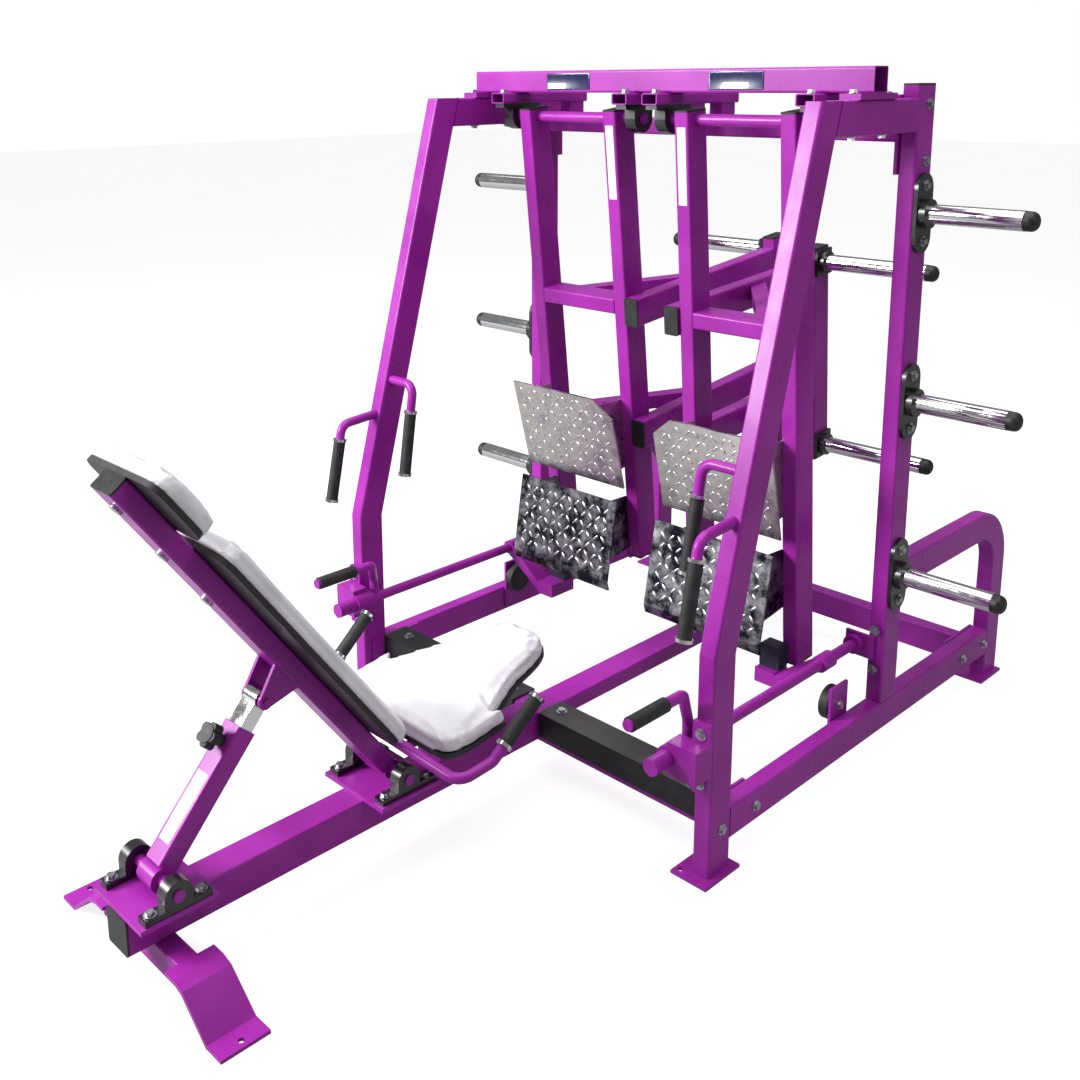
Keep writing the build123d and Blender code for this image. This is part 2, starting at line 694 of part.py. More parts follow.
eye_r = 8 + open_gap
with BuildPart() as strut_bar:
    with BuildSketch(Plane(origin=strut_axle + strut_dir * bar_start, x_dir=(1, 0, 0), z_dir=strut_dir)):
        RectangleRounded(bar_side, bar_depth, 2)
        RectangleRounded(bar_side - 8, bar_depth - 8, 1, mode=Mode.SUBTRACT)
    extrude(amount=strut_run.length - bar_start - 24)
    neck = strut_axle + strut_dir * (strut_run.length - 32)
    with BuildSketch(Plane(origin=neck, x_dir=(1, 0, 0), z_dir=strut_dir)):
        RectangleRounded(bar_side, bar_depth - 2, 2)
    extrude(amount=32)
    bar(clevis_pin - Vector(bar_side / 2, 0, 0), clevis_pin + Vector(bar_side / 2, 0, 0), 22)
    bar(clevis_pin - Vector(bar_side, 0, 0), clevis_pin + Vector(bar_side, 0, 0), eye_r, mode=Mode.SUBTRACT)

knob_out = Vector(0, -strut_dir.Z, strut_dir.Y)
with BuildPart() as pop_pin:
    seat = strut_axle + strut_dir * (sleeve_length - 42) + knob_out * (sleeve_depth / 2)
    bar(seat, seat + knob_out * 22, 13)
    for turn in range(5):
        across = Vector(1, 0, 0).rotate(Axis((0, 0, 0), tuple(knob_out)), 72 * turn)
        bar(seat + knob_out * 22 + across * 17, seat + knob_out * 46 + across * 17, 11)
    bar(seat + knob_out * 22, seat + knob_out * 48, 20)

pieces.update(
    frame_plates=frame_plates, front_posts=front_posts, top_side_beams=top_side_beams,
    rear_uprights=rear_uprights, side_rails=side_rails, rear_arches=rear_arches, head_beam=head_beam,
    badge_plates=badge_plates, pivot_rails=pivot_rails, rear_top_beam=rear_top_beam,
    rear_base_beam=rear_base_beam, front_base_beam=front_base_beam, step_covers=step_covers,
    spine_beams=spine_beams, stabilizer=stabilizer,
    storage_horn_flanges=storage_horn_flanges, storage_horns=storage_horns,
    arm_pillow_blocks=arm_pillow_blocks, lock_bearings=lock_bearings, bumper_discs=bumper_discs,
    bench_bearings=bench_bearings, seat_pad=seat_pad, seat_board=seat_board,
    seat_bracket=seat_bracket, grab_handles=grab_handles,
    handle_grips=handle_grips, handle_collars=handle_collars, frame_bolts=frame_bolts,
    frame_end_caps=frame_end_caps, backrest_tube=backrest_tube, strut_clevis=strut_clevis,
    pad_boards=pad_boards, head_pad=head_pad, back_pad=back_pad, backrest_fittings=backrest_fittings,
    strut_sleeve=strut_sleeve, strut_bar=strut_bar, pop_pin=pop_pin,
)

# ================================================================ swinging arms
def swing_plane(label):
    """Frame of an arm at its pivot; local z runs up along the arm."""
    lean_of = arm_leans[label]
    return Plane(origin=(0, pivot_y, pivot_z), x_dir=(1, 0, 0), z_dir=(0, -sin(lean_of), cos(lean_of)))


half_long = tube_long / 2
inner_face = arm_inside + tube_short
outer_face = arm_outside - tube_short
beam_x = arm_inside - tube_short / 2
inner_foot = -arm_length + 135.0
upright_feet = ((inner_face - tube_short / 2, inner_foot), (outer_face + tube_short / 2, -arm_length))
horn_lines = (column_top - arm_horn_drop, column_foot + arm_horn_drop)
upper_plate = ((-155.0, -arm_length + 660.0), (-115.0, -arm_length + 388.0))
lower_plate = ((-150.0, -arm_length + 358.0), (-214.0, -arm_length + 130.0))


def build_arm(side, label):
    """One swinging arm; side is -1 on the left and 1 on the right."""
    across = (1, 0, 0)
    swing = swing_plane(label)

    def arm_at(x, y, z):
        """Point in the arm's own frame."""
        return swing.from_local_coords(Vector(x, y, z))

    def arm_level(z):
        """Plane square to the arm at a distance below the pivot."""
        return Plane(origin=arm_at(0, 0, z), x_dir=(1, 0, 0), z_dir=swing.z_dir)

    def arm_side(x):
        """Plane along the arm; local x runs back and local y runs up."""
        return Plane(origin=arm_at(x, 0, 0), x_dir=swing.y_dir, z_dir=(1, 0, 0))

    with BuildPart() as uprights:
        for x, foot in upright_feet:
            tube(arm_at(side * x, 0, foot), arm_at(side * x, 0, arm_top - cap_thick), across, tube_short,
                 tube_long)

    with BuildPart() as pivot_shaft:
        for x0, x1 in ((inner_rail_x - pillow_width / 2 - 4, arm_inside), (inner_face, outer_face),
                       (arm_outside, outer_rail_x + pillow_width / 2 + 4)):
            bar((side * x0, pivot_y, pivot_z), (side * x1, pivot_y, pivot_z), shaft_r)

    with BuildPart() as crossframes:
        for z in (upper_beam_z, lower_beam_z):
            bar_z = z - 10 - tube_short / 2
            tube(arm_at(side * inner_face, 0, bar_z), arm_at(side * outer_face, 0, bar_z), swing.y_dir,
                 tube_long, tube_short)
            tube(arm_at(side * beam_x, -half_long - 8 + cap_thick, z - half_long),
                 arm_at(side * beam_x, column_y, z - half_long), across, tube_short, tube_long)
            # brace in plan from the crossbar to the long beam
            outline = [(345, half_long), (290, half_long), (arm_inside, 290), (arm_inside, 362)]
            slab(arm_level(bar_z - 20), [(side * x, y) for x, y in outline], 40)
            core = [(339, half_long), (296, half_long), (arm_inside, 298), (arm_inside, 354)]
            slab(arm_level(bar_z - 17), [(side * x, y) for x, y in core], 34, mode=Mode.SUBTRACT)

    with BuildPart() as weight_column:
        tube(arm_at(side * beam_x, column_y + half_long, column_foot),
             arm_at(side * beam_x, column_y + half_long, column_top), across, tube_short, tube_long)

    with BuildPart() as foot_plates:
        for (y0, z0), (y1, z1), lip in ((*upper_plate, 0), (*lower_plate, 26)):
            fall = Vector(y1 - y0, z1 - z0, 0).normalized()
            back = Vector(-fall.Y, fall.X, 0) * plate_thick
            if back.X < 0:
                back = back * -1
            corners = [(y0, z0), (y1, z1)]
            rear = [(y1 + back.X, z1 + back.Y), (y0 + back.X, z0 + back.Y)]
            if lip:
                corners.append((y1 + 4, z1 - lip))
                rear.insert(0, (y1 + 4 + plate_thick, z1 - lip))
            low_x, high_x = sorted((side * (arm_inside - tread_reach), side * arm_outside))
            slab(arm_side(low_x), corners + rear, high_x - low_x)
            # a side plate from each upright to the tread
            web = [(y0 + back.X - 1, z0 - 20), (y1 + back.X - 1, z1 + 20), (-half_long, z1 + 28),
                   (-half_long, z0 - 34)]
            for x in (inner_face - 4, outer_face):
                slab(arm_side(min(side * x, side * (x + 4))), web, 4)
        # the upper tread's inner corner is cut off
        tread_top = upper_plate[0][1]
        edge_x, cut_x = side * (arm_inside - tread_reach - 1), side * (arm_inside + 50)
        corner = [(edge_x, tread_top + 30), (cut_x, tread_top + 30), (cut_x, tread_top + 2),
                  (edge_x, tread_top - 52)]
        front = Plane(origin=arm_at(0, upper_plate[0][0] - 40, 0), x_dir=(1, 0, 0), z_dir=swing.y_dir)
        up_sign = 1 if front.from_local_coords(Vector(0, 1, 0)).Z > front.origin.Z else -1
        slab(front, [(x, up_sign * z) for x, z in corner], 80, mode=Mode.SUBTRACT)

    with BuildPart() as horn_flanges:
        for z in horn_lines:
            seat = Plane(origin=arm_at(side * arm_inside, column_y + half_long, z), x_dir=swing.y_dir,
                         z_dir=(side, 0, 0))
            with BuildSketch(seat):
                Rectangle(tube_long, 78)
            extrude(amount=flange_base)
            with BuildSketch(seat.offset(flange_base)):
                Circle(34)
            extrude(amount=14)

    with BuildPart() as weight_horns:
        for z in horn_lines:
            bar(arm_at(side * (arm_inside + flange_base + 14), column_y + half_long, z),
                arm_at(side * (arm_horn_tip - horn_cap), column_y + half_long, z), horn_r, horn_r - horn_wall)

    with BuildPart() as end_caps:
        for x in (inner_face - tube_short / 2, outer_face + tube_short / 2):
            plug(arm_at(side * x, 0, arm_top - cap_thick), arm_at(side * x, 0, arm_top), across, tube_short,
                 tube_long)
        for x, foot in upright_feet:
            plug(arm_at(side * x, 0, foot - cap_thick), arm_at(side * x, 0, foot), across, tube_short,
                 tube_long)
        for z in (upper_beam_z, lower_beam_z):
            nose = -half_long - 8
            plug(arm_at(side * beam_x, nose, z - half_long),
                 arm_at(side * beam_x, nose + cap_thick, z - half_long), across, tube_short, tube_long)
        for z in (column_foot - cap_thick, column_top):
            base = arm_at(side * beam_x, column_y + half_long, z)
            plug(base, base + swing.z_dir * cap_thick, across, tube_short, tube_long)
        for z in horn_lines:
            domed_cap(arm_at(side * (arm_horn_tip - horn_cap), column_y + half_long, z), side)

    return {f"{label}_arm_uprights": uprights, f"{label}_pivot_shaft": pivot_shaft,
            f"{label}_arm_crossframes": crossframes, f"{label}_weight_column": weight_column,
            f"{label}_foot_plates": foot_plates, f"{label}_horn_flanges": horn_flanges,
            f"{label}_weight_horns": weight_horns, f"{label}_arm_end_caps": end_caps}


# ================================================================ stop levers
pad_x = arm_outside - 85.0


def build_lock(side, label):
    """One stop lever with its crank, rod, pad and grip."""
    rod_x = side * lock_x
    swing = swing_plane(label)
    low_y = swing.from_local_coords(Vector(0, -half_long, -arm_length + cap_thick)).Y
    high_y = swing.from_local_coords(Vector(0, -half_long, -arm_length + pad_high - pad_low)).Y
    pad_back = min(low_y, high_y) - soft_gap - 0.7
    pad_start = pad_back - 42
    shift, top_z = crank_tops[label]
    crank = (rod_x + shift, crank_y, top_z)
    crank_end = (rod_x + shift, post_y - 245, top_z)
    with BuildPart() as lock_bar:
        bar((rod_x, post_y - 62, lock_z), (rod_x, upright_y - 4, lock_z), lock_r)
        bar((rod_x, post_y - 118, lock_z), (rod_x, post_y - 62, lock_z), 20)
        bar((rod_x, post_y + 4, lock_z), (rod_x, post_y + 16, lock_z), 22)
        bent_bar([(rod_x, crank_root_y, lock_z), (rod_x, crank_root_y, lock_z + 62), crank, crank_end], 26,
                 handle_r)
        # lever down to the block that carries the pad
        low = pad_low - pad_block / 2
        flat = [(rod_x, lock_z + 18), (rod_x + side * 12, lock_z - 14),
                (side * (pad_x + pad_width), low - 12), (side * (pad_x + pad_width), low + 16)]
        lever = Plane(origin=(0, lever_y + lever_width / 2, 0), x_dir=(1, 0, 0), z_dir=(0, -1, 0))
        slab(lever, flat, lever_width)
        bar((rod_x, lever_y - lever_width / 2, lock_z), (rod_x, lever_y + lever_width / 2, lock_z), 22)
        span((side * pad_x, side * (pad_x + pad_width)), (lever_y - lever_width / 2, pad_back),
             (pad_low - pad_block, pad_low))

    with BuildPart() as lock_pad:
        span((side * pad_x, side * (pad_x + pad_width)), (pad_start, pad_back), (pad_low, pad_high))
        fillet(lock_pad.edges().filter_by(Axis.Y), 6)

    with BuildPart() as lock_grip:
        start = Vector(*crank_end) + Vector(0, 8, 0)
        bar(start, start + Vector(0, 118, 0), grip_r, handle_r + run_gap)

    return {f"{label}_lock_bar": lock_bar, f"{label}_lock_pad": lock_pad, f"{label}_lock_grip": lock_grip}


for side, label in ((-1, "left"), (1, "right")):
    pieces.update(build_arm(side, label))
    pieces.update(build_lock(side, label))

for label, piece in pieces.items():
    piece.part.label = label
    export_step(piece.part, f"parts/{label}.step")
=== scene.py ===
"""Finishes, upholstery, treads, labels and stage for the plate-loaded leg press."""

import math

import bmesh
import bpy
from bpy.props import FloatProperty, IntProperty, PointerProperty, StringProperty
from mathutils import Matrix, Vector


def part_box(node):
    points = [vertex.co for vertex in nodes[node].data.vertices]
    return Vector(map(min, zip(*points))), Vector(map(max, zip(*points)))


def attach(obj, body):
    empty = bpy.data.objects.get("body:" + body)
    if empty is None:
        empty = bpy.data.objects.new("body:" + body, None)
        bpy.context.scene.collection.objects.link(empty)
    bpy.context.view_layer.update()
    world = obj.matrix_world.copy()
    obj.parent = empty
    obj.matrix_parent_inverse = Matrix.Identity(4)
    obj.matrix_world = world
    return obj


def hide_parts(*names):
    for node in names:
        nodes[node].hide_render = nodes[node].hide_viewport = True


bl_info = {
    "name": "Leg press dresser",
    "version": (1, 0, 0),
    "blender": (4, 5, 0),
    "location": "3D view > Sidebar > Leg press",
    "description": "Paints, upholsters and stages the leg press that the frame holds",
    "category": "Object",
}

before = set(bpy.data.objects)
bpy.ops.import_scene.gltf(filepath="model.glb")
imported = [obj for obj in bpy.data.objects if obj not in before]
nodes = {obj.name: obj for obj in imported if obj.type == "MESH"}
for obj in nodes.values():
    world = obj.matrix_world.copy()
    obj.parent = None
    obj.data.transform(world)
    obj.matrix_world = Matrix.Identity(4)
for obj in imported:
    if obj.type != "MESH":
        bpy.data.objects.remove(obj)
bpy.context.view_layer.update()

MM = 0.001

# degrees that the face of the back rest and of the seat is tipped from level, each its own way
BACK_LEAN = 53.5
SEAT_LEAN = 8

# places and sizes of the labels and badges, in metres
ARM_LABEL_X = 120.5 * MM
ARM_LABEL_Z = 1.545
ARM_LABEL_HEIGHT = 0.2
STRUT_LABEL = (0.036, 0.15)
LABEL_THICK = 0.4 * MM
BADGE_WIDTH = 0.158
BADGE_INSET = 0.08
BADGE_RIM = 3 * MM

# softboxes: name, place, target, width and height, and share of the key light's power
SOFTBOXES = (
    ("key", (-3.2, -4.6, 3.2), (0, 0, 0.8), (2.2, 2.2), 1.0),
    ("top", (-0.3, 0.0, 5.2), (0, 0.2, 0.0), (6.0, 6.0), 0.5),
    ("side", (5.0, 0.6, 2.6), (0, 0.3, 0.8), (0.5, 2.6), 0.04),
)
FLOOR_SIZE = 60

# the camera: metres, degrees of yaw, pitch and roll, shares of the frame, and mm of sensor
CAMERA_PLACE = (2.0563, -2.1996, 1.7720)
CAMERA_TURN = (46.57, 77.63, -0.57)
CAMERA_SHIFT = (0.0527, -0.1798)
SENSOR_WIDTH = 36


# ---------------------------------------------------------------- settings
def colour_text(name, description, default):
    """A colour kept as sRGB hex, the way a paint chart gives it."""
    return StringProperty(name=name, description=description, default=default)


class PressColours(bpy.types.PropertyGroup):
    """Colours of the finishes, as sRGB hex."""

    powder: colour_text("Powder coat", "Frame colour", "#9C2A9E")
    powder_deep: colour_text("Powder coat, deep", "Frame colour where the coat is thick", "#8A1F8C")
    vinyl: colour_text("Vinyl", "Upholstery colour", "#D6D5D9")
    vinyl_soiled: colour_text("Vinyl, handled", "Upholstery colour where it is handled", "#C8C6CC")
    casting: colour_text("Casting", "Bearing housings and horn flanges", "#0C0B0D")
    plastic: colour_text("Plastic", "Caps, boards and step covers", "#121113")
    plastic_dusty: colour_text("Plastic, dusty", "Back rest cap where dust lies", "#1F1E21")
    rubber: colour_text("Rubber", "Grips, knob and bumpers", "#151416")
    stop_pad: colour_text("Stop pad", "Rubber of the stop levers", "#12142A")
    label: colour_text("Label", "Blank label film", "#F4F4F6")
    badge: colour_text("Badge", "Blank badge field", "#14184A")
    tread: colour_text("Tread", "Ground of the tread plates", "#A4A3A8")
    # painted reflection: dark blue-grey ground for the lower tread plates
    tread_reflection_dark: colour_text("Tread, filmed", "Ground of the tread plates under dark film",
                            "#23242F")
    # painted reflection: pale beige ground for the upper tread plates
    tread_reflection_pale: colour_text("Tread, dry", "Ground of the tread plates where heels scuff it",
                           "#CFCAC6")
    lozenge: colour_text("Lozenges", "Raised lozenges of the treads", "#C4C4C8")
    lozenge_bright: colour_text("Lozenges, polished", "Lozenges that shoes polish", "#F4F4F6")
    chrome: colour_text("Chrome", "Horns, collars and strut bar", "#D9DADC")
    zinc: colour_text("Zinc", "Bolts where the film is dull", "#8E9096")
    zinc_bright: colour_text("Zinc, bright", "Bolts where the film is thin", "#C9CACD")
    floor: colour_text("Floor", "Studio floor", "#FBFBFB")


class PressSizes(bpy.types.PropertyGroup):
    """Sizes of the added pieces."""

    pad_voxel: FloatProperty(
        name="Pad mesh", description="Mesh size of the upholstery",
        default=6 * MM, unit="LENGTH", min=3 * MM)
    pad_inset: FloatProperty(
        name="Pad inset", description="How much smaller a pad starts than its space",
        default=2.5 * MM, unit="LENGTH")
    pad_swell: FloatProperty(
        name="Pad swell", description="Most that a point of a pad moves as it is stuffed",
        default=7 * MM, unit="LENGTH")
    pad_frames: IntProperty(
        name="Stuffing steps", description="Frames that the cloth runs for",
        default=18)
    lozenge: FloatProperty(
        name="Tread lozenge", description="Length of a raised lozenge",
        default=24 * MM, unit="LENGTH")
    lozenge_step: FloatProperty(
        name="Tread step", description="Distance between lozenges",
        default=28 * MM, unit="LENGTH")
    label_width: FloatProperty(
        name="Label width", description="Width of the labels on the arms",
        default=26 * MM, unit="LENGTH")
    lens: FloatProperty(
        name="Lens", description="Focal length of the camera in mm",
        default=40.65)
    key_power: FloatProperty(
        name="Key light", description="Power of the key light in watts",
        default=620.0)


class PressSettings(bpy.types.PropertyGroup):
    """All settings of the leg press."""

    colours: PointerProperty(type=PressColours)
    sizes: PointerProperty(type=PressSizes)


def settings():
    """The scene's leg press settings."""
    return bpy.context.scene.leg_press


# ---------------------------------------------------------------- material helpers
def linear(text):
    """sRGB hex as a linear RGBA colour."""
    values = [int(text[i:i + 2], 16) / 255 for i in (1, 3, 5)]
    return tuple(v / 12.92 if v <= 0.04045 else ((v + 0.055) / 1.055) ** 2.4
                 for v in values) + (1.0,)


def shade(colour, factor, lift=0.0):
    """A linear colour made lighter or darker."""
    return tuple(v * factor + lift for v in colour[:3]) + (1.0,)


def add(tree, kind, links=None, stops=(), **values):
    """Add a node, set its own values, fill or link its inputs and place a ramp's two stops."""
    made = tree.nodes.new(kind)
    for name, value in values.items():
        setattr(made, name, value)
    for socket, value in (links or {}).items():
        if isinstance(value, bpy.types.NodeSocket):
            tree.links.new(value, made.inputs[socket])
        else:
            made.inputs[socket].default_value = value
    for number, (position, colour) in enumerate(stops):
        made.color_ramp.elements[number].position = position
        made.color_ramp.elements[number].color = colour
    return made


def finish(name):
    """An empty material with the object's own coordinates; each finish adds its own output."""
    material = bpy.data.materials.new(name)
    material.use_nodes = True
    tree = material.node_tree
    tree.nodes.clear()
    place = add(tree, "ShaderNodeTexCoord").outputs["Object"]
    return material, tree, place


def powder_coat():
    """Polyester powder coat baked on steel: deep colour, clear gloss and faint orange peel."""
    colours = settings().colours
    material, tree, place = finish("gloss_powder_coat")
    cloud = add(tree, "ShaderNodeTexNoise", {"Vector": place, "Scale": 5.0, "Detail": 3.0})
    colour = add(tree, "ShaderNodeValToRGB", {"Fac": cloud.outputs["Fac"]},
                 stops=((0.35, linear(colours.powder_deep)),
                        (0.65, linear(colours.powder)))).outputs["Color"]
    # orange peel is 1-2 mm across; drawn at 5 mm so that it shows
    peel = add(tree, "ShaderNodeTexNoise", {"Vector": place, "Scale": 1 / (5 * MM), "Detail": 1.0})
    scuff = add(tree, "ShaderNodeTexNoise", {
        "Vector": place, "Scale": 1 / (60 * MM), "Detail": 6.0, "Roughness": 0.7})
    rough = add(tree, "ShaderNodeMapRange", {
        "Value": scuff.outputs["Fac"], "From Min": 0.35, "From Max": 0.75, "To Min": 0.26,
        "To Max": 0.42})
    bump = add(tree, "ShaderNodeBump", {
        "Height": peel.outputs["Fac"], "Strength": 0.04, "Distance": 0.2 * MM})
    shader = add(tree, "ShaderNodeBsdfPrincipled", {
        "Base Color": colour, "Roughness": rough.outputs["Result"],
        "Normal": bump.outputs["Normal"], "Coat Weight": 0.06, "Coat Roughness": 0.08,
        "Specular IOR Level": 0.22})
    add(tree, "ShaderNodeOutputMaterial", {"Surface": shader.outputs[0]})
    return material


def upholstery_vinyl():
    """PVC upholstery vinyl on foam: fine leather-like grain, soft sheen, duller where touched."""
    colours = settings().colours
    material, tree, place = finish("upholstery_vinyl")
    cloud = add(tree, "ShaderNodeTexNoise", {
        "Vector": place, "Scale": 1 / (90 * MM), "Detail": 4.0})
    colour = add(tree, "ShaderNodeValToRGB", {"Fac": cloud.outputs["Fac"]},
                 stops=((0.35, linear(colours.vinyl_soiled)),
                        (0.65, linear(colours.vinyl)))).outputs["Color"]
    # grain cells are about 1 mm; drawn at 3 mm so that they show
    grain = add(tree, "ShaderNodeTexVoronoi", {
        "Vector": place, "Scale": 1 / (3 * MM)}, feature="DISTANCE_TO_EDGE")
    fold = add(tree, "ShaderNodeTexNoise", {"Vector": place, "Scale": 1 / (40 * MM), "Detail": 2.0})
    mixed = add(tree, "ShaderNodeMath", {
        0: grain.outputs["Distance"], 1: fold.outputs["Fac"]}, operation="MULTIPLY")
    bump = add(tree, "ShaderNodeBump", {
        "Height": mixed.outputs["Value"], "Strength": 0.22, "Distance": 0.5 * MM})
    rough = add(tree, "ShaderNodeMapRange", {
        "Value": cloud.outputs["Fac"], "To Min": 0.36, "To Max": 0.5})
    shader = add(tree, "ShaderNodeBsdfPrincipled", {
        "Base Color": colour, "Roughness": rough.outputs["Result"],
        "Normal": bump.outputs["Normal"], "Coat Weight": 0.12, "Coat Roughness": 0.3,
        "Sheen Weight": 0.08})
    add(tree, "ShaderNodeOutputMaterial", {"Surface": shader.outputs[0]})
    return material


def painted_casting():
    """Grey iron casting under black gloss enamel: a pebbled skin whose bumps catch the light."""
    colours = settings().colours
    material, tree, place = finish("enamelled_cast_iron")
    sand = add(tree, "ShaderNodeTexNoise", {
        "Vector": place, "Scale": 1 / (3.5 * MM), "Detail": 3.0})
    cloud = add(tree, "ShaderNodeTexNoise", {
        "Vector": place, "Scale": 1 / (35 * MM), "Detail": 4.0})
    bump = add(tree, "ShaderNodeBump", {
        "Height": sand.outputs["Fac"], "Strength": 0.35, "Distance": 0.5 * MM})
    base = linear(colours.casting)
    worn = shade(base, 2.2, 0.01)
    colour = add(tree, "ShaderNodeValToRGB", {"Fac": cloud.outputs["Fac"]},
                 stops=((0.45, base), (0.8, worn))).outputs["Color"]
    rough = add(tree, "ShaderNodeMapRange", {
        "Value": cloud.outputs["Fac"], "To Min": 0.22, "To Max": 0.45})
    shader = add(tree, "ShaderNodeBsdfPrincipled", {
        "Base Color": colour, "Roughness": rough.outputs["Result"],
        "Normal": bump.outputs["Normal"], "Coat Weight": 0.4, "Coat Roughness": 0.15})
    add(tree, "ShaderNodeOutputMaterial", {"Surface": shader.outputs[0]})
    return material


def hard_chrome():
    """Ground steel tube with hard chrome plate: a mirror with faint rings from loading plates."""
    material, tree, place = finish("hard_chrome_plate")
    # load rings run round the horn; stretched noise draws them about 2 mm apart
    stretch = add(tree, "ShaderNodeMapping", {"Vector": place, "Scale": (1 / (2 * MM), 18.0, 18.0)})
    rings = add(tree, "ShaderNodeTexNoise", {
        "Vector": stretch.outputs["Vector"], "Scale": 1.0, "Detail": 3.0})
    haze = add(tree, "ShaderNodeTexNoise", {"Vector": place, "Scale": 1 / (50 * MM), "Detail": 5.0})
    rough = add(tree, "ShaderNodeMapRange", {
        "Value": haze.outputs["Fac"], "From Min": 0.35, "From Max": 0.8, "To Min": 0.04,
        "To Max": 0.22})
    bump = add(tree, "ShaderNodeBump", {
        "Height": rings.outputs["Fac"], "Strength": 0.04, "Distance": 0.1 * MM})
    shader = add(tree, "ShaderNodeBsdfPrincipled", {
        "Base Color": linear(settings().colours.chrome), "Metallic": 1.0,
        "Roughness": rough.outputs["Result"], "Normal": bump.outputs["Normal"]})
    add(tree, "ShaderNodeOutputMaterial", {"Surface": shader.outputs[0]})
    return material


def zinc_plate():
    """Bright zinc plate on turned steel: cool grey metal with a mottled passivated film."""
    colours = settings().colours
    material, tree, place = finish("bright_zinc_plate")
    mottle = add(tree, "ShaderNodeTexNoise", {
        "Vector": place, "Scale": 1 / (6 * MM), "Detail": 4.0})
    colour = add(tree, "ShaderNodeValToRGB", {"Fac": mottle.outputs["Fac"]},
                 stops=((0.35, linear(colours.zinc)),
                        (0.65, linear(colours.zinc_bright)))).outputs["Color"]
    rough = add(tree, "ShaderNodeMapRange", {
        "Value": mottle.outputs["Fac"], "To Min": 0.22, "To Max": 0.42})
    bump = add(tree, "ShaderNodeBump", {
        "Height": mottle.outputs["Fac"], "Strength": 0.08, "Distance": 0.2 * MM})
    shader = add(tree, "ShaderNodeBsdfPrincipled", {
        "Base Color": colour, "Metallic": 1.0, "Roughness": rough.outputs["Result"],
        "Normal": bump.outputs["Normal"]})
    add(tree, "ShaderNodeOutputMaterial", {"Surface": shader.outputs[0]})
    return material


def rolled_aluminium():
    """Rolled aluminium tread plate; painted reflection blotches its ground, dark on the lower
    treads, pale on the upper.
    """
    colours = settings().colours
    material, tree, place = finish("rolled_aluminium_tread")
    brushed = add(tree, "ShaderNodeMapping", {
        "Vector": place, "Scale": (12.0, 1 / (1.5 * MM), 1 / (1.5 * MM))})
    lines = add(tree, "ShaderNodeTexNoise", {
        "Vector": brushed.outputs["Vector"], "Scale": 1.0, "Detail": 2.0})
    # this noise sets both the roughness and the blotches of painted reflection below
    scuff = add(tree, "ShaderNodeTexNoise", {
        "Vector": place, "Scale": 1 / (45 * MM), "Detail": 7.0, "Roughness": 0.7})
    # painted reflection: the upper treads get pale blotches and the lower ones dark blotches, split
    # by height
    split = add(tree, "ShaderNodeSeparateXYZ", {"Vector": place})
    height = add(tree, "ShaderNodeMapRange", {
        "Value": split.outputs["Z"], "From Min": 0.60, "From Max": 0.66})
    # painted reflection, dark: blotches between the base ground and dark blue-grey
    film = add(tree, "ShaderNodeValToRGB", {"Fac": scuff.outputs["Fac"]},
               stops=((0.42, linear(colours.tread_reflection_dark)),
                      (0.66, linear(colours.tread)))).outputs["Color"]
    # painted reflection, pale: blotches between the base ground and pale beige
    pale_reflection = add(tree, "ShaderNodeValToRGB", {"Fac": scuff.outputs["Fac"]},
              stops=((0.3, linear(colours.tread)),
                     (0.55, linear(colours.tread_reflection_pale)))).outputs["Color"]
    colour = add(tree, "ShaderNodeMix", {
        0: height.outputs["Result"], 6: film, 7: pale_reflection}, data_type="RGBA").outputs[2]
    rough = add(tree, "ShaderNodeMapRange", {
        "Value": scuff.outputs["Fac"], "From Min": 0.3, "From Max": 0.7, "To Min": 0.2,
        "To Max": 0.4})
    bump = add(tree, "ShaderNodeBump", {
        "Height": lines.outputs["Fac"], "Strength": 0.15, "Distance": 0.1 * MM})
    shader = add(tree, "ShaderNodeBsdfPrincipled", {
        "Base Color": colour, "Metallic": 1.0, "Roughness": rough.outputs["Result"],
        "Normal": bump.outputs["Normal"]})
    add(tree, "ShaderNodeOutputMaterial", {"Surface": shader.outputs[0]})
    return material


def polished_lozenges():
    """Raised lozenges of tread plate, polished bright by shoes."""
    colours = settings().colours
    material, tree, place = finish("polished_tread_lozenges")
    scuff = add(tree, "ShaderNodeTexNoise", {
        "Vector": place, "Scale": 1 / (12 * MM), "Detail": 4.0})
    colour = add(tree, "ShaderNodeValToRGB", {"Fac": scuff.outputs["Fac"]},
                 stops=((0.35, linear(colours.lozenge)),
                        (0.65, linear(colours.lozenge_bright)))).outputs["Color"]
    rough = add(tree, "ShaderNodeMapRange", {
        "Value": scuff.outputs["Fac"], "To Min": 0.18, "To Max": 0.4})
    shader = add(tree, "ShaderNodeBsdfPrincipled", {
        "Base Color": colour, "Metallic": 1.0, "Roughness": rough.outputs["Result"]})
    add(tree, "ShaderNodeOutputMaterial", {"Surface": shader.outputs[0]})
    return material


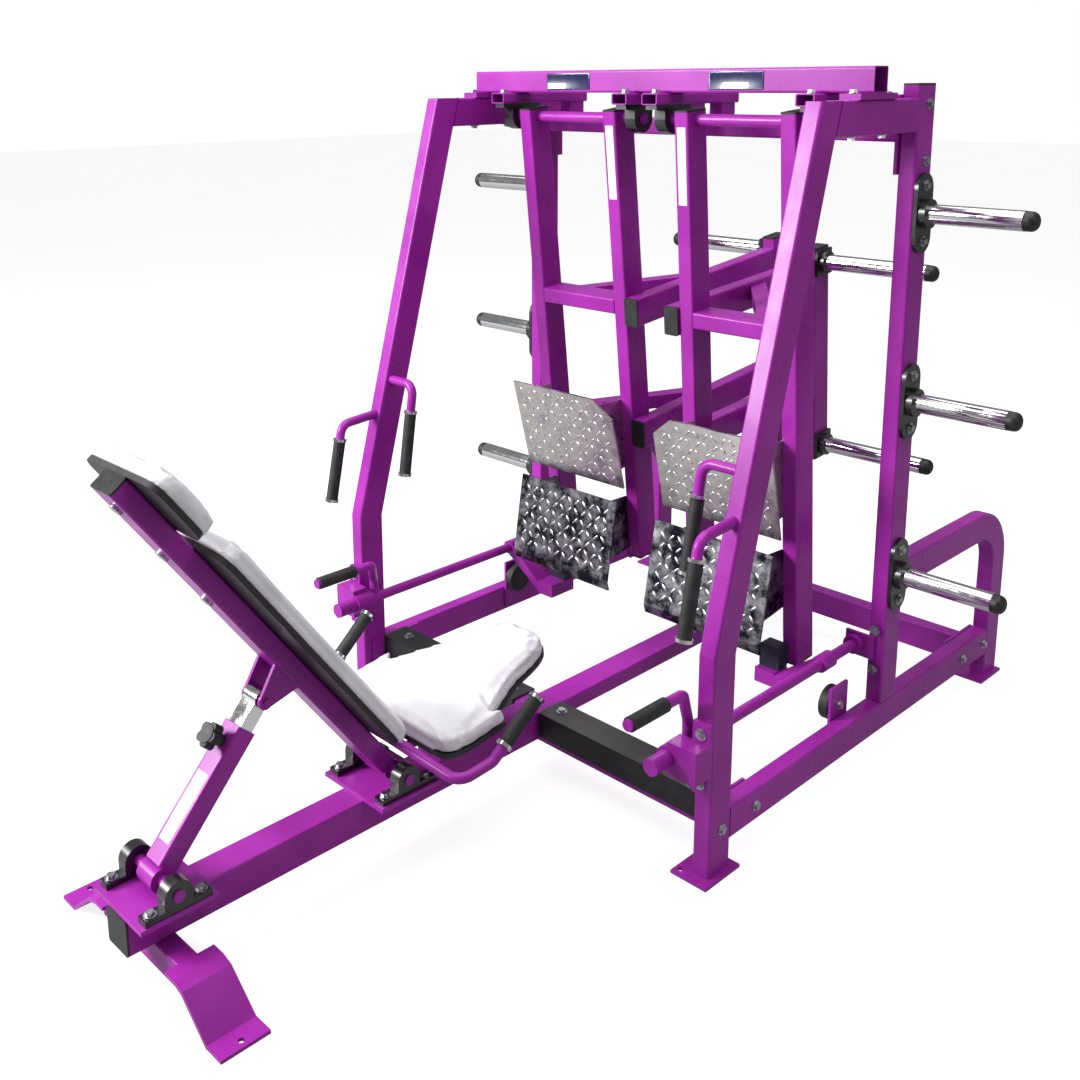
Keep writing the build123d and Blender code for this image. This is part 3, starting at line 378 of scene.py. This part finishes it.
def cap_and_bolts():
    """Black nylon cap of the back rest and the zinc bolt heads below it, split by height."""
    colours = settings().colours
    material, tree, place = finish("nylon_cap_and_zinc_bolts")
    _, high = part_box("backrest_fittings")
    split = add(tree, "ShaderNodeSeparateXYZ", {"Vector": place})
    is_cap = add(tree, "ShaderNodeMath", {
        0: split.outputs["Z"], 1: high[2] - 60 * MM}, operation="GREATER_THAN").outputs["Value"]
    mottle = add(tree, "ShaderNodeTexNoise", {
        "Vector": place, "Scale": 1 / (6 * MM), "Detail": 4.0})
    bright = add(tree, "ShaderNodeValToRGB", {"Fac": mottle.outputs["Fac"]},
                 stops=((0.35, linear(colours.zinc)),
                        (0.65, linear(colours.zinc_bright)))).outputs["Color"]
    dark = add(tree, "ShaderNodeValToRGB", {"Fac": mottle.outputs["Fac"]},
               stops=((0.35, linear(colours.plastic)),
                      (0.65, linear(colours.plastic_dusty)))).outputs["Color"]
    colour = add(tree, "ShaderNodeMix", {
        0: is_cap, 6: bright, 7: dark}, data_type="RGBA").outputs[2]
    metal = add(tree, "ShaderNodeMath", {0: 1.0, 1: is_cap}, operation="SUBTRACT")
    rough = add(tree, "ShaderNodeMapRange", {
        "Value": mottle.outputs["Fac"], "To Min": 0.25, "To Max": 0.45})
    shader = add(tree, "ShaderNodeBsdfPrincipled", {
        "Base Color": colour, "Metallic": metal.outputs["Value"],
        "Roughness": rough.outputs["Result"]})
    add(tree, "ShaderNodeOutputMaterial", {"Surface": shader.outputs[0]})
    return material


def moulded_plastic():
    """Injection-moulded black nylon and ABS: spark-eroded texture with a dull sheen."""
    colours = settings().colours
    material, tree, place = finish("moulded_black_plastic")
    spark = add(tree, "ShaderNodeTexNoise", {
        "Vector": place, "Scale": 1 / (1.8 * MM), "Detail": 2.0})
    rubbed = add(tree, "ShaderNodeTexNoise", {
        "Vector": place, "Scale": 1 / (30 * MM), "Detail": 5.0})
    base = linear(colours.plastic)
    dusty = shade(base, 1.8, 0.006)
    colour = add(tree, "ShaderNodeValToRGB", {"Fac": rubbed.outputs["Fac"]},
                 stops=((0.45, base), (0.75, dusty))).outputs["Color"]
    rough = add(tree, "ShaderNodeMapRange", {
        "Value": rubbed.outputs["Fac"], "To Min": 0.38, "To Max": 0.6})
    bump = add(tree, "ShaderNodeBump", {
        "Height": spark.outputs["Fac"], "Strength": 0.2, "Distance": 0.25 * MM})
    shader = add(tree, "ShaderNodeBsdfPrincipled", {
        "Base Color": colour, "Roughness": rough.outputs["Result"],
        "Normal": bump.outputs["Normal"]})
    add(tree, "ShaderNodeOutputMaterial", {"Surface": shader.outputs[0]})
    return material


def grip_rubber(name, text):
    """Moulded nitrile rubber: matt, finely pebbled, a little greyer where hands polish it."""
    material, tree, place = finish(name)
    # the pebble is about 1 mm; drawn at 2.5 mm so that it shows
    pebble = add(tree, "ShaderNodeTexVoronoi", {"Vector": place, "Scale": 1 / (2.5 * MM)})
    rubbed = add(tree, "ShaderNodeTexNoise", {
        "Vector": place, "Scale": 1 / (25 * MM), "Detail": 4.0})
    base = linear(text)
    polished = shade(base, 1.7, 0.008)
    colour = add(tree, "ShaderNodeValToRGB", {"Fac": rubbed.outputs["Fac"]},
                 stops=((0.4, base), (0.8, polished))).outputs["Color"]
    rough = add(tree, "ShaderNodeMapRange", {
        "Value": rubbed.outputs["Fac"], "To Min": 0.75, "To Max": 0.5})
    bump = add(tree, "ShaderNodeBump", {
        "Height": pebble.outputs["Distance"], "Strength": 0.35, "Distance": 0.4 * MM})
    shader = add(tree, "ShaderNodeBsdfPrincipled", {
        "Base Color": colour, "Roughness": rough.outputs["Result"],
        "Normal": bump.outputs["Normal"]})
    add(tree, "ShaderNodeOutputMaterial", {"Surface": shader.outputs[0]})
    return material


def label_film(name, text):
    """Printed polyester label film: flat colour under a thin gloss laminate, faintly wavy."""
    material, tree, place = finish(name)
    wave = add(tree, "ShaderNodeTexNoise", {"Vector": place, "Scale": 1 / (20 * MM), "Detail": 2.0})
    base = linear(text)
    faded = shade(base, 0.88)
    colour = add(tree, "ShaderNodeValToRGB", {"Fac": wave.outputs["Fac"]},
                 stops=((0.35, faded), (0.65, base))).outputs["Color"]
    rough = add(tree, "ShaderNodeMapRange", {
        "Value": wave.outputs["Fac"], "To Min": 0.22, "To Max": 0.34})
    bump = add(tree, "ShaderNodeBump", {
        "Height": wave.outputs["Fac"], "Strength": 0.1, "Distance": 0.3 * MM})
    shader = add(tree, "ShaderNodeBsdfPrincipled", {
        "Base Color": colour, "Roughness": rough.outputs["Result"],
        "Normal": bump.outputs["Normal"], "Coat Weight": 0.5})
    add(tree, "ShaderNodeOutputMaterial", {"Surface": shader.outputs[0]})
    return material


finishes = {}


def make_finishes():
    """Make every material once."""
    colours = settings().colours
    finishes.update(
        powder=powder_coat(), vinyl=upholstery_vinyl(), casting=painted_casting(),
        chrome=hard_chrome(), zinc=zinc_plate(), tread=rolled_aluminium(),
        lozenge=polished_lozenges(), fittings=cap_and_bolts(), plastic=moulded_plastic(),
        rubber=grip_rubber("moulded_grip_rubber", colours.rubber),
        stop_rubber=grip_rubber("stop_pad_rubber", colours.stop_pad),
        label=label_film("white_label_film", colours.label),
        badge=label_film("badge_film", colours.badge))


def finish_of(node):
    """Which finish a CAD node has, from its name."""
    words = {
        "pad_boards": "plastic", "seat_board": "plastic", "step_covers": "plastic",
        "frame_end_caps": "plastic", "arm_end_caps": "plastic", "backrest_fittings": "fittings",
        "horn_flanges": "casting", "pillow_blocks": "casting", "bench_bearings": "casting",
        "weight_horns": "chrome", "storage_horns": "chrome", "handle_collars": "chrome",
        "strut_bar": "chrome", "frame_bolts": "zinc", "foot_plates": "tread",
        "handle_grips": "rubber", "bumper_discs": "rubber", "pop_pin": "rubber",
        "lock_grip": "rubber", "lock_pad": "stop_rubber", "badge_plates": "badge"}
    for word, kind in words.items():
        if word in node:
            return kind
    return "powder"


# ---------------------------------------------------------------- mesh helpers
def clear_selection():
    """Deselect everything, so that an operator acts on its own piece."""
    bpy.ops.object.select_all(action="DESELECT")


def select_only(piece):
    """Select one piece and make it active."""
    clear_selection()
    piece.select_set(True)
    bpy.context.view_layer.objects.active = piece


def settle(piece, matrix=None):
    """Put a piece's place into its mesh."""
    if matrix is not None:
        piece.matrix_world = matrix
        bpy.context.view_layer.update()
    select_only(piece)
    bpy.ops.object.transform_apply(location=True, rotation=True, scale=True)
    return piece


def apply_modifier(piece, kind, **values):
    """Add a modifier, set it and apply it."""
    made = piece.modifiers.new(kind.lower(), kind)
    for name, value in values.items():
        setattr(made, name, value)
    select_only(piece)
    bpy.ops.object.modifier_apply(modifier=made.name)


def smooth(piece, angle=35):
    """Smooth shading that keeps the hard edges."""
    select_only(piece)
    bpy.ops.object.shade_smooth_by_angle(angle=math.radians(angle))


def wear(piece, kind, body):
    """Give a piece its finish, body and material slot."""
    piece.data.materials.clear()
    piece.data.materials.append(finishes[kind])
    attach(piece, body)
    return piece


def surface_frame(point, normal, up):
    """Matrix at a point of a surface: z along the normal, and y as near to up as it can be."""
    z = normal.normalized()
    x = up.cross(z).normalized()
    y = z.cross(x)
    return Matrix.Translation(point) @ Matrix((x, y, z)).transposed().to_4x4()


def hit(node, start, direction):
    """Where a ray meets a CAD node, and the normal there."""
    found, point, normal, _ = nodes[node].ray_cast(Vector(start), Vector(direction).normalized())
    if not found:
        raise RuntimeError(f"no surface of {node} from {tuple(start)}")
    return point, normal


def thin_plate(name, width, height, thick, matrix, rim=0.0):
    """Flat plate with rounded corners and an optional raised rim, standing on local z = 0."""
    clear_selection()
    bpy.ops.mesh.primitive_cube_add(size=1)
    piece = bpy.context.object
    piece.name = name
    piece.scale = (width, height, thick)
    piece.location = (0, 0, thick / 2)
    settle(piece)
    bpy.ops.object.mode_set(mode="EDIT")
    mesh = bmesh.from_edit_mesh(piece.data)
    for edge in mesh.edges:
        a, b = edge.verts
        edge.select = abs(a.co.z - b.co.z) > thick / 2
    bmesh.update_edit_mesh(piece.data)
    corner = min(width, height) * 0.12
    bpy.ops.mesh.bevel(offset=corner, segments=5, affect="EDGES")
    if rim:
        mesh = bmesh.from_edit_mesh(piece.data)
        for face in mesh.faces:
            face.select = face.normal.z > 0.9
        bmesh.update_edit_mesh(piece.data)
        bpy.ops.mesh.inset(thickness=rim)
        bpy.ops.mesh.extrude_region_move(TRANSFORM_OT_translate={"value": (0, 0, -thick * 0.3)})
    bpy.ops.object.mode_set(mode="OBJECT")
    apply_modifier(piece, "BEVEL", width=thick * 0.2, segments=2, limit_method="ANGLE")
    settle(piece, matrix)
    smooth(piece)
    return piece


def merged_copy(name, node):
    """Copy of a CAD node as one closed mesh."""
    piece = bpy.data.objects.new(name, nodes[node].data.copy())
    bpy.context.scene.collection.objects.link(piece)
    select_only(piece)
    bpy.ops.object.mode_set(mode="EDIT")
    bpy.ops.mesh.select_all(action="SELECT")
    bpy.ops.mesh.remove_doubles(threshold=0.01 * MM)
    bpy.ops.mesh.tris_convert_to_quads()
    bpy.ops.object.mode_set(mode="OBJECT")
    return piece


# ---------------------------------------------------------------- upholstery
def stuff(piece, base, outward):
    """Blow a pad up with cloth, held on its base plane, and cap how far it moves."""
    sizes = settings().sizes
    mesh = piece.data
    start = [v.co.copy() for v in mesh.vertices]
    held = piece.vertex_groups.new(name="held")
    low = [v.index for v in mesh.vertices if (v.co - base).dot(outward) < sizes.pad_voxel * 0.9]
    held.add(low, 1.0, "ADD")
    cloth = piece.modifiers.new("stuffing", "CLOTH")
    cloth.settings.quality = 5
    cloth.settings.mass = 0.3
    cloth.settings.use_pressure = True
    cloth.settings.uniform_pressure_force = 5.0
    cloth.settings.tension_stiffness = 18
    cloth.settings.shear_stiffness = 8
    cloth.settings.bending_stiffness = 0.6
    cloth.settings.effector_weights.gravity = 0
    cloth.settings.vertex_group_mass = "held"
    cloth.collision_settings.use_collision = False
    cloth.point_cache.frame_end = sizes.pad_frames
    scene = bpy.context.scene
    for step in range(1, sizes.pad_frames + 1):
        scene.frame_set(step)
    select_only(piece)
    bpy.ops.object.modifier_apply(modifier="stuffing")
    scene.frame_set(1)
    for vertex, was in zip(piece.data.vertices, start):
        move = vertex.co - was
        if move.length > sizes.pad_swell:
            move *= sizes.pad_swell / move.length
        vertex.co = was + move
        under = (vertex.co - base).dot(outward)
        if under < 0:
            vertex.co -= outward * under


def upholster(name, node, body, outward):
    """A cushion that fills its CAD pad: cut a little small, meshed evenly, stuffed and smoothed."""
    sizes = settings().sizes
    outward = Vector(outward).normalized()
    piece = merged_copy(name, node)
    heights = [v.co.dot(outward) for v in piece.data.vertices]
    base = outward * min(heights)
    middle = sum((v.co for v in piece.data.vertices), Vector()) / len(piece.data.vertices)
    half = max((v.co - middle).length for v in piece.data.vertices)
    for vertex in piece.data.vertices:
        height = vertex.co.dot(outward) - min(heights)
        sideways = vertex.co - middle
        sideways -= outward * sideways.dot(outward)
        vertex.co -= sideways * (sizes.pad_inset / half)
        if height > 1 * MM:
            vertex.co -= outward * sizes.pad_inset
    # the upper rim of the foam is rounded before it is covered
    apply_modifier(piece, "BEVEL", width=9 * MM, segments=4, limit_method="ANGLE",
                   angle_limit=math.radians(50))
    apply_modifier(piece, "REMESH", mode="VOXEL", voxel_size=sizes.pad_voxel)
    stuff(piece, base, outward)
    apply_modifier(piece, "SMOOTH", iterations=3, factor=0.5)
    apply_modifier(piece, "SUBSURF", levels=1, render_levels=1)
    for polygon in piece.data.polygons:
        polygon.use_smooth = True
    wear(piece, "vinyl", body)
    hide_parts(node)
    return piece


# ---------------------------------------------------------------- treads
def tread_faces(node):
    """The two treads of a foot plate: a matrix on each, its half sizes, lower tread first."""
    mesh = nodes[node].data
    facing = [p for p in mesh.polygons if p.normal.y < -0.9]
    middle = sum(p.center.z for p in facing) / len(facing)
    found = []
    for above in (False, True):
        group = [p for p in facing if (p.center.z > middle) == above]
        main = max(group, key=lambda p: p.area)
        flat = [p for p in group if (p.normal - main.normal).length < 0.02]
        spots = [mesh.vertices[i].co for p in flat for i in p.vertices]
        matrix = surface_frame(main.center, main.normal, Vector((0, 0, 1)))
        local = [matrix.inverted() @ s for s in spots]
        lows = [min(s[i] for s in local) for i in (0, 1)]
        highs = [max(s[i] for s in local) for i in (0, 1)]
        shift = Matrix.Translation(((lows[0] + highs[0]) / 2, (lows[1] + highs[1]) / 2, 0))
        found.append((matrix @ shift, (highs[0] - lows[0]) / 2, (highs[1] - lows[1]) / 2))
    return found


def lozenge():
    """One raised lozenge of tread plate, 2 mm proud, lying along local x."""
    length = settings().sizes.lozenge
    clear_selection()
    bpy.ops.mesh.primitive_uv_sphere_add(segments=8, ring_count=4, radius=0.5)
    piece = bpy.context.object
    piece.name = "lozenge"
    piece.scale = (length, length * 0.3, 4.4 * MM)
    settle(piece)
    bpy.ops.object.mode_set(mode="EDIT")
    bpy.ops.mesh.select_all(action="SELECT")
    bpy.ops.mesh.bisect(plane_co=(0, 0, -0.3 * MM), plane_no=(0, 0, 1), clear_inner=True,
                        use_fill=True)
    bpy.ops.object.mode_set(mode="OBJECT")
    return piece


def dress_treads(label):
    """Cover both treads of one arm with lozenges that lean left and right by turns."""
    step = settings().sizes.lozenge_step
    node = f"{label}_foot_plates"
    pattern = lozenge()
    copies = []
    for matrix, half_x, half_y in tread_faces(node):
        count_x = int((2 * half_x - 0.6 * step) / step)
        count_y = int((2 * half_y - 0.6 * step) / step)
        for row in range(count_y):
            for column in range(count_x):
                x = (column - (count_x - 1) / 2) * step
                y = (row - (count_y - 1) / 2) * step
                spot = matrix @ Vector((x, y, 0))
                found, near, _, _ = nodes[node].closest_point_on_mesh(spot)
                edge = matrix @ Vector((x - math.copysign(step / 2, spot.x), y + step / 2, 0))
                _, near_edge, _, _ = nodes[node].closest_point_on_mesh(edge)
                # no lozenge hangs over an edge or stands on the fold between the treads
                if (near - spot).length > 0.5 * MM or (near_edge - edge).length > 1 * MM:
                    continue
                lean = math.radians(45 if (row + column) % 2 else -45)
                copy = pattern.copy()
                copy.data = pattern.data.copy()
                bpy.context.scene.collection.objects.link(copy)
                copy.matrix_world = (matrix @ Matrix.Translation((x, y, 0))
                                     @ Matrix.Rotation(lean, 4, "Z"))
                copies.append(copy)
    bpy.data.objects.remove(pattern)
    bpy.context.view_layer.update()
    clear_selection()
    for copy in copies:
        copy.select_set(True)
    bpy.context.view_layer.objects.active = copies[0]
    bpy.ops.object.join()
    piece = bpy.context.object
    piece.name = f"{label}_tread_lozenges"
    settle(piece)
    smooth(piece, 40)
    wear(piece, "lozenge", f"{label}_arm")


# ---------------------------------------------------------------- stage
def soft_light(name, place, target, size, power):
    """Large rectangular softbox that points at a target."""
    light = bpy.data.lights.new(name, "AREA")
    light.shape = "RECTANGLE"
    light.size = size[0]
    light.size_y = size[1]
    light.energy = power
    lamp = bpy.data.objects.new(name, light)
    bpy.context.scene.collection.objects.link(lamp)
    lamp.location = place
    lamp.rotation_euler = (Vector(target) - Vector(place)).to_track_quat("-Z", "Y").to_euler()


# ---------------------------------------------------------------- operators
class PRESS_OT_paint(bpy.types.Operator):
    """Make the finishes and put them on every CAD node"""

    bl_idname = "press.paint"
    bl_label = "Paint the frame"

    def execute(self, context):
        make_finishes()
        for name, piece in nodes.items():
            piece.data.materials.clear()
            piece.data.materials.append(finishes[finish_of(name)])
        return {"FINISHED"}


class PRESS_OT_pads(bpy.types.Operator):
    """Upholster the head pad, the back pad and the seat"""

    bl_idname = "press.pads"
    bl_label = "Upholster the pads"

    def execute(self, context):
        lean, tilt = math.radians(BACK_LEAN), math.radians(SEAT_LEAN)
        face = (0, math.sin(lean), math.cos(lean))
        upholster("head_cushion", "head_pad", "backrest", face)
        upholster("back_cushion", "back_pad", "backrest", face)
        upholster("seat_cushion", "seat_pad", "frame", (0, -math.sin(tilt), math.cos(tilt)))
        return {"FINISHED"}


class PRESS_OT_treads(bpy.types.Operator):
    """Raise the lozenges of the tread plates"""

    bl_idname = "press.treads"
    bl_label = "Dress the treads"

    def execute(self, context):
        for label in ("left", "right"):
            dress_treads(label)
        return {"FINISHED"}


class PRESS_OT_labels(bpy.types.Operator):
    """Stick the blank labels on the arms and the strut"""

    bl_idname = "press.labels"
    bl_label = "Stick the labels"

    def execute(self, context):
        width = settings().sizes.label_width
        up = Vector((0, 0, 1))
        for side, label in ((-1, "left"), (1, "right")):
            point, normal = hit(f"{label}_arm_uprights",
                                (side * ARM_LABEL_X, -1, ARM_LABEL_Z), (0, 1, 0))
            plate = thin_plate(f"{label}_arm_label", width, ARM_LABEL_HEIGHT, LABEL_THICK,
                               surface_frame(point, normal, up))
            wear(plate, "label", f"{label}_arm")
        low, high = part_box("strut_sleeve")
        middle = (low[2] + high[2]) / 2 + 35 * MM
        point, normal = hit("strut_sleeve", (0, low[1] - 0.2, middle + 0.15), (0, 0.66, -0.4))
        plate = thin_plate("strut_label", *STRUT_LABEL, LABEL_THICK,
                           surface_frame(point, normal, up))
        wear(plate, "label", "strut")
        return {"FINISHED"}


class PRESS_OT_badges(bpy.types.Operator):
    """Make the two blank badges on the head beam"""

    bl_idname = "press.badges"
    bl_label = "Fit the badges"

    def execute(self, context):
        low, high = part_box("badge_plates")
        thick = high[1] - low[1]
        spots = (low[0] + BADGE_INSET, high[0] - BADGE_INSET)
        for number, x in enumerate(spots, 1):
            place = surface_frame(Vector((x, high[1], (low[2] + high[2]) / 2)), Vector((0, -1, 0)),
                                  Vector((0, 0, 1)))
            plate = thin_plate(f"badge_{number}", BADGE_WIDTH, high[2] - low[2], thick, place,
                               rim=BADGE_RIM)
            wear(plate, "badge", "frame")
            if number == 1:
                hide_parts("badge_plates")
        return {"FINISHED"}


class PRESS_OT_stage(bpy.types.Operator):
    """Set the floor, the soft lights and the camera"""

    bl_idname = "press.stage"
    bl_label = "Set the stage"

    def execute(self, context):
        scene = context.scene
        power = settings().sizes.key_power
        clear_selection()
        bpy.ops.mesh.primitive_plane_add(size=FLOOR_SIZE)
        ground = context.object
        ground.name = "studio_floor"
        ground.data.materials.append(studio_floor())
        for name, place, target, size, share in SOFTBOXES:
            soft_light(name, place, target, size, power * share)
        world = bpy.data.worlds.new("studio")
        world.use_nodes = True
        backdrop(world.node_tree)
        scene.world = world
        scene.view_settings.view_transform = "Standard"
        view = bpy.data.cameras.new("view")
        view.lens = settings().sizes.lens
        view.sensor_width = SENSOR_WIDTH
        view.shift_x, view.shift_y = CAMERA_SHIFT
        camera = bpy.data.objects.new("view", view)
        scene.collection.objects.link(camera)
        camera.location = CAMERA_PLACE
        yaw, pitch, roll = (math.radians(angle) for angle in CAMERA_TURN)
        turn = Matrix.Rotation(yaw, 4, "Z") @ Matrix.Rotation(pitch, 4, "X")
        camera.rotation_euler = (turn @ Matrix.Rotation(roll, 4, "Z")).to_euler()
        scene.camera = camera
        return {"FINISHED"}


def backdrop(tree):
    """White backdrop that lights the object only a little."""
    tree.nodes.clear()
    seen = add(tree, "ShaderNodeLightPath").outputs["Is Camera Ray"]
    strength = add(tree, "ShaderNodeMapRange", {"Value": seen, "To Min": 0.26, "To Max": 1.0})
    sky = add(tree, "ShaderNodeBackground", {
        "Color": (1, 1, 1, 1), "Strength": strength.outputs["Result"]})
    add(tree, "ShaderNodeOutputWorld", {"Surface": sky.outputs[0]})


def studio_floor():
    """Painted studio floor: white to the camera, and throws little light up at the machine."""
    material, tree, place = finish("painted_floor")
    cloud = add(tree, "ShaderNodeTexNoise", {"Vector": place, "Scale": 0.8, "Detail": 2.0})
    base = linear(settings().colours.floor)
    colour = add(tree, "ShaderNodeValToRGB", {"Fac": cloud.outputs["Fac"]},
                 stops=((0.35, shade(base, 0.28)), (0.65, shade(base, 0.3)))).outputs["Color"]
    seen = add(tree, "ShaderNodeLightPath").outputs["Is Camera Ray"]
    glow = add(tree, "ShaderNodeMapRange", {"Value": seen, "To Min": 0.12, "To Max": 0.88})
    shader = add(tree, "ShaderNodeBsdfPrincipled", {
        "Base Color": colour, "Roughness": 0.8, "Emission Color": base,
        "Emission Strength": glow.outputs["Result"]})
    add(tree, "ShaderNodeOutputMaterial", {"Surface": shader.outputs[0]})
    return material


operators = (PRESS_OT_paint, PRESS_OT_pads, PRESS_OT_treads, PRESS_OT_labels, PRESS_OT_badges,
             PRESS_OT_stage)


class PRESS_PT_panel(bpy.types.Panel):
    """Sidebar panel with every step"""

    bl_label = "Leg press"
    bl_idname = "PRESS_PT_panel"
    bl_space_type = "VIEW_3D"
    bl_region_type = "UI"
    bl_category = "Leg press"

    def draw(self, context):
        for operator in operators:
            self.layout.operator(operator.bl_idname)
        for group in (settings().colours, settings().sizes):
            for name in group.__annotations__:
                self.layout.prop(group, name)


classes = (PressColours, PressSizes, PressSettings, *operators, PRESS_PT_panel)


def register():
    """Register the classes and the settings."""
    for item in classes:
        bpy.utils.register_class(item)
    bpy.types.Scene.leg_press = PointerProperty(type=PressSettings)


def unregister():
    """Take the settings and the classes away."""
    del bpy.types.Scene.leg_press
    for item in reversed(classes):
        bpy.utils.unregister_class(item)


def main():
    """Dress the whole machine."""
    register()
    for operator in operators:
        group, name = operator.bl_idname.split(".")
        getattr(getattr(bpy.ops, group), name)()
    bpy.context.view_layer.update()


if __name__ == "__main__":
    main()
